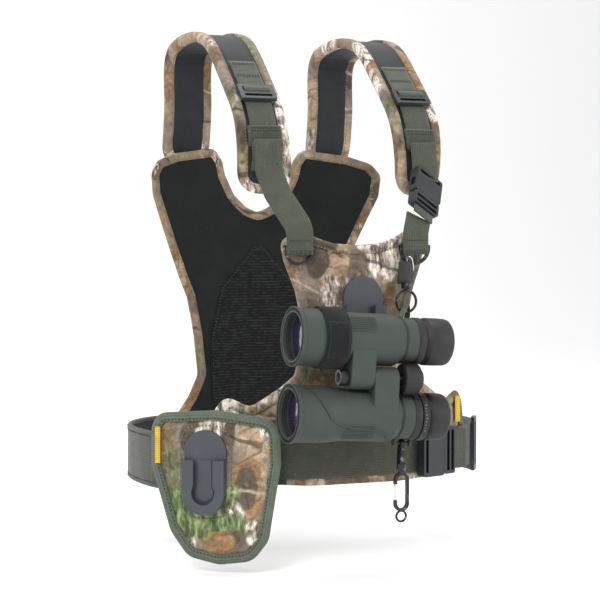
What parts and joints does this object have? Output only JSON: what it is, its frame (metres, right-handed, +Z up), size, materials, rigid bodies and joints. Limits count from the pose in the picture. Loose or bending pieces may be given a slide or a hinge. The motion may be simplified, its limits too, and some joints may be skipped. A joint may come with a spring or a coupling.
{
  "type": "binocular harness pack",
  "caption": "Chest and back harness with padded shoulder straps, waist belt, hip holster and a binocular that hangs on a quick-release chest receiver.",
  "frame": {"origin": "centre of the waist belt's loop, on the torso's axis at the front webbing's height", "axes": "+Z up along the torso, -Y the way the wearer faces, +X towards the wearer's left"},
  "size_m": [0.3401, 0.3224, 0.4768],
  "materials": {
    "camo_fabric": "printed woven polyester, matt",
    "dark_lining": "brushed knit lining",
    "spacer_mesh": "open spacer mesh",
    "webbing_green": "woven nylon webbing",
    "binding_green": "grosgrain binding tape",
    "tag_yellow": "blank woven tag",
    "black_strap": "hook and loop strap",
    "black_leather": "smooth strap",
    "buckle_plastic": "moulded acetal",
    "receiver_plastic": "glass-filled nylon",
    "armour_rubber": "dark green-grey armour",
    "black_rubber": "black moulded rubber",
    "dark_metal": "black painted steel",
    "silver_metal": "plated steel",
    "hub_metal": "anodised",
    "lens_glass": "coated lens",
    "prism_glass": "prism"
  },
  "bodies": {
    "harness": {"chest_panel": "camo_fabric", "chest_binding": "camo_fabric", "back_panel": "dark_lining", "back_binding": "camo_fabric", "back_mesh": "spacer_mesh", "shoulder_pad_right": "dark_lining", "shoulder_pad_left": "dark_lining", "shoulder_bindings": "camo_fabric", "shoulder_webbing": "webbing_green", "webbing_keepers": "webbing_green", "shoulder_buckle_socket": "buckle_plastic", "chest_strap_right": "webbing_green", "chest_strap_left": "webbing_green", "d_rings": "dark_metal", "waist_webbing": "webbing_green", "waist_belt": "webbing_green", "waist_buckle_socket": "buckle_plastic", "belt_triglide": "buckle_plastic", "wing_tag": "tag_yellow", "chest_receiver_base": "receiver_plastic", "chest_receiver_frame": "receiver_plastic", "holster_hanger": "webbing_green", "tether_strap": "black_leather", "tether_collar": "dark_metal"},
    "ladder_lock_right": {"ladder_lock_right": "buckle_plastic"},
    "ladder_lock_left": {"ladder_lock_left": "buckle_plastic"},
    "shoulder_plug": {"shoulder_buckle_plug": "buckle_plastic", "shoulder_buckle_tail": "webbing_green"},
    "waist_plug": {"waist_buckle_plug": "buckle_plastic", "waist_buckle_tail": "webbing_green"},
    "holster": {"holster_pad": "camo_fabric", "holster_binding": "binding_green", "holster_tag": "tag_yellow", "holster_receiver_base": "receiver_plastic", "holster_receiver_frame": "receiver_plastic"},
    "binocular": {"upper_barrel": "armour_rubber", "upper_bridge": "armour_rubber", "upper_objective_lens": "lens_glass", "upper_ocular_lens": "lens_glass", "upper_prism": "prism_glass", "hinge_pin": "dark_metal", "hub": "hub_metal", "hub_plate": "buckle_plastic", "barrel_strap": "black_strap", "tether_loop": "black_strap"},
    "lower_half": {"lower_barrel": "armour_rubber", "lower_bridge": "armour_rubber", "lower_objective_lens": "lens_glass", "lower_ocular_lens": "lens_glass", "lower_prism": "prism_glass"},
    "focus_wheel": {"focus_wheel": "black_rubber"},
    "upper_focus_cell": {"upper_focus_cell": "lens_glass"},
    "lower_focus_cell": {"lower_focus_cell": "lens_glass"},
    "diopter_ring": {"diopter_ring": "black_rubber"},
    "upper_eyecup": {"upper_eyecup": "black_rubber"},
    "lower_eyecup": {"lower_eyecup": "black_rubber"},
    "tether_ring": {"tether_ring": "dark_metal"},
    "hook_link": {"hook_link": "dark_metal"},
    "snap_hook": {"snap_hook": "dark_metal"},
    "hook_gate": {"hook_gate": "silver_metal"}
  },
  "joints": [
    {"name": "ladder_lock_right_tilt", "type": "hinge", "parent": "harness", "child": "ladder_lock_right", "pos_m": [-0.076, -0.06377, 0.33265], "axis": [-1, 0, 0], "range_deg": [0, 25]},
    {"name": "ladder_lock_left_tilt", "type": "hinge", "parent": "harness", "child": "ladder_lock_left", "pos_m": [0.076, -0.06377, 0.33265], "axis": [-1, 0, 0], "range_deg": [0, 25]},
    {"name": "shoulder_buckle_release", "type": "slide", "parent": "harness", "child": "shoulder_plug", "axis": [-0.3587, -0.4927, -0.7928], "range_m": [0, 0.012]},
    {"name": "waist_buckle_release", "type": "slide", "parent": "harness", "child": "waist_plug", "axis": [0.9445, 0.3284, 0], "range_m": [0, 0.012]},
    {"name": "holster_swing", "type": "hinge", "parent": "harness", "child": "holster", "pos_m": [-0.12471, -0.10094, 0.043], "axis": [-0.7997, 0.6004, 0], "range_deg": [0, 25]},
    {"name": "binocular_turn", "type": "hinge", "parent": "harness", "child": "binocular", "pos_m": [0.004, -0.1212, 0.1112], "axis": [0, 1, 0], "range_deg": [-2, 2]},
    {"name": "binocular_fold", "type": "hinge", "parent": "binocular", "child": "lower_half", "pos_m": [-0.08427, -0.178, 0.08374], "axis": [0.9983, 0, -0.0576], "range_deg": [-15, 5]},
    {"name": "focus_turn", "type": "hinge", "parent": "binocular", "child": "focus_wheel", "pos_m": [-0.08427, -0.178, 0.08374], "axis": [0.9983, 0, -0.0576], "range_deg": [-270, 270]},
    {"name": "upper_focus_slide", "type": "slide", "parent": "binocular", "child": "upper_focus_cell", "axis": [0.9983, 0, -0.0576], "range_m": [-0.0025, 0.0025]},
    {"name": "lower_focus_slide", "type": "slide", "parent": "lower_half", "child": "lower_focus_cell", "axis": [0.9983, 0, -0.0576], "range_m": [-0.0025, 0.0025]},
    {"name": "diopter_turn", "type": "hinge", "parent": "lower_half", "child": "diopter_ring", "pos_m": [-0.08614, -0.168, 0.05129], "axis": [0.9983, 0, -0.0576], "range_deg": [-40, 40]},
    {"name": "upper_eyecup_slide", "type": "slide", "parent": "binocular", "child": "upper_eyecup", "axis": [0.9983, 0, -0.0576], "range_m": [0, 0.008]},
    {"name": "lower_eyecup_slide", "type": "slide", "parent": "lower_half", "child": "lower_eyecup", "axis": [0.9983, 0, -0.0576], "range_m": [0, 0.008]},
    {"name": "tether_ring_swivel", "type": "hinge", "parent": "harness", "child": "tether_ring", "pos_m": [0.044, -0.1286, 0.1426], "axis": [0, 0, 1], "range_deg": [-12, 4]},
    {"name": "hook_link_swing", "type": "hinge", "parent": "lower_half", "child": "hook_link", "pos_m": [0.02201, -0.1638, 0.02118], "axis": [0.9983, 0, -0.0576], "range_deg": [-50, 5]},
    {"name": "hook_swivel", "type": "hinge", "parent": "hook_link", "child": "snap_hook", "pos_m": [0.02201, -0.1638, -0.00422], "axis": [0, 0, 1], "continuous": true},
    {"name": "hook_gate_swing", "type": "hinge", "parent": "snap_hook", "child": "hook_gate", "pos_m": [0.01631, -0.1638, -0.02672], "axis": [0, 1, 0], "range_deg": [0, 22], "stiffness_Nm_per_rad": 0.004, "springref_deg": -5.73}
  ],
  "couplings": [
    {"joint": "focus_turn", "follows": "upper_focus_slide", "rad_per_m": 1883.1},
    {"joint": "lower_focus_slide", "follows": "upper_focus_slide", "ratio": 0.999}
  ]
}
